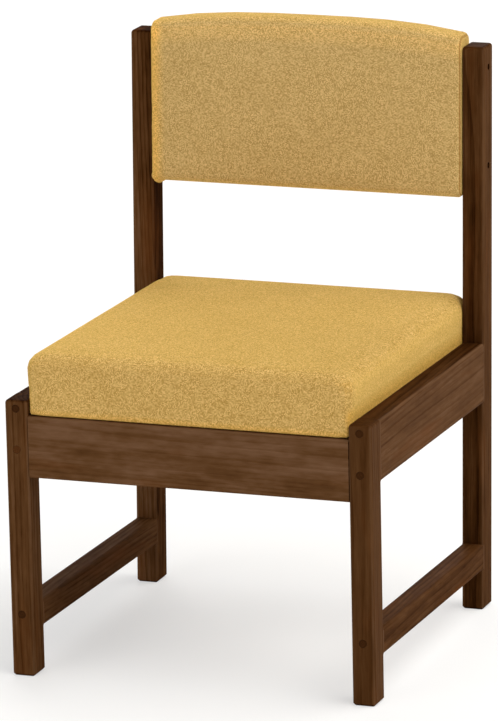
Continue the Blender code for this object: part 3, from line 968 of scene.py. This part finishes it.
def light_studio():
    """Lamps, and surroundings that are white as seen or mirrored but give less light."""
    world = bpy.data.worlds.new("studio")
    world.use_nodes = True
    tree = world.node_tree
    surround = tree.nodes["Background"]
    surround.inputs["Color"].default_value = surround_colour
    rays = tree.nodes.new("ShaderNodeLightPath").outputs
    seen = rays["Is Camera Ray"]
    for kind in ("Is Glossy Ray", "Is Transmission Ray"):
        larger = tree.nodes.new("ShaderNodeMath")
        larger.operation = "MAXIMUM"
        tree.links.new(seen, larger.inputs[0])
        tree.links.new(rays[kind], larger.inputs[1])
        seen = larger.outputs[0]
    strength = tree.nodes.new("ShaderNodeMapRange")
    strength.inputs["To Min"].default_value = surround_strength
    tree.links.new(seen, strength.inputs["Value"])
    tree.links.new(strength.outputs["Result"], surround.inputs["Strength"])
    scene.world = world
    for lamp in lamps:
        shine(*lamp)
    scene.view_settings.view_transform = "Standard"


# Putting it together

place_camera()
lay_floor()
light_studio()

# Each stained piece: kind of grain, tone of its faces (its own tone, with painted shade and light by the way
# each face looks), strength of its lines and clouds, place of the pith
stained = {
    "front_leg_left": ("leg", (0.58, 0.54, 0.10), 1.2, 0.9, (0.05, 0.03)),
    "front_leg_right": ("leg", (0.46, 0.41, 0.20), 0.75, 0.45, (-0.04, 0.06)),
    "rear_post_left": ("post", (0.30, 0.59, 0.08), 1.5, 0.9, (0.06, -0.02)),
    "rear_post_right": ("post", (0.465, 0.33, 0.08), 1.2, 0.7, (-0.03, 0.07)),
    "side_rail_left": ("side bar", (0.44, 0.45, 0.10), 1.1, 1.0, (0.05, 0.09)),
    "side_rail_right": ("side bar", (0.57, 0.45, 0.20), 0.95, 0.85, (-0.04, 0.10)),
    "side_stretcher_left": ("stretcher", (0.52, 0.45, 0.55), 1.1, 1.0, (0.04, 0.05)),
    "side_stretcher_right": ("stretcher", (0.40, 0.45, 0.33), 0.9, 0.9, (-0.05, 0.04)),
    "front_rail": ("cross rail", (0.50, 0.72, 0.50), 0.6, 1.5, (0.05, 0.10)),
    "rear_rail": ("cross rail", (0.50, 0.50, 0.50), 1.0, 1.0, (-0.05, 0.08)),
    "corner_block_front_left": ("cross rail", (0.50, 0.50, 0.50), 1.0, 1.0, (0.08, 0.05)),
    "corner_block_front_right": ("cross rail", (0.48, 0.48, 0.48), 1.0, 1.0, (0.08, 0.05)),
    "corner_block_rear_left": ("cross rail", (0.52, 0.52, 0.52), 1.0, 1.0, (0.08, 0.05)),
    "corner_block_rear_right": ("cross rail", (0.50, 0.50, 0.50), 1.0, 1.0, (0.08, 0.05)),
}
usual_tilt = 0.02
tilts = {"rear_post_left": 0.03, "front_leg_right": -0.02, "side_rail_left": 0.03, "front_rail": 0.03}
# Painted shade: how a piece's lightness changes across and along it, darker towards where the chair shades it
usual_shade_slope = (0, 0, 0)
shade_slopes = {
    "rear_post_left": (-0.12, 0, -0.16),
    "rear_post_right": (0, 0, 0.07),
    "front_rail": (0, 0.05, 0),
}
glosses = {
    "rear_post_left": 0.002,
    "rear_post_right": 0.007,
    "front_leg_left": 0.003,
    "side_rail_left": 0.003,
    "side_stretcher_left": 0.004,
    "side_stretcher_right": 0.006,
}
for seed, (name, looks) in enumerate(stained.items(), 1):
    tilt = tilts.get(name, usual_tilt)
    shade_slope = shade_slopes.get(name, usual_shade_slope)
    gloss = glosses.get(name, wood_gloss)
    stained_wood(name, seed, *looks, tilt, shade_slope, gloss)

pale_plugs = ["plug_front_left_rail_low"]
dark_plugs = [name for name in nodes if name.startswith("plug_") and name not in pale_plugs]
end_grain("plug_end_grain", dark_plugs, lightness=1.15, rim_share=0.35)
end_grain("plug_end_grain_pale", pale_plugs, lightness=2.05, rim_share=0.1)
bare = bare_wood()
steel = zinc_steel()
for name, obj in nodes.items():
    if name.startswith("dowel_") or name.endswith("_board"):
        paint(obj, bare)
    elif "screw_" in name:
        paint(obj, steel)

seat_tweed = tweed("seat_tweed", seat_yarn, seat_painted_light)
pad_tweed = tweed("pad_tweed", pad_yarn, pad_painted_light, pad_crest_light, pad_seam)
for name in ("seat_cover", "seat_foam"):
    paint(nodes[name], seat_tweed)
for name in ("pad_cover", "pad_foam"):
    paint(nodes[name], pad_tweed)
make_seat(seat_tweed, bare)
make_pad(pad_tweed)
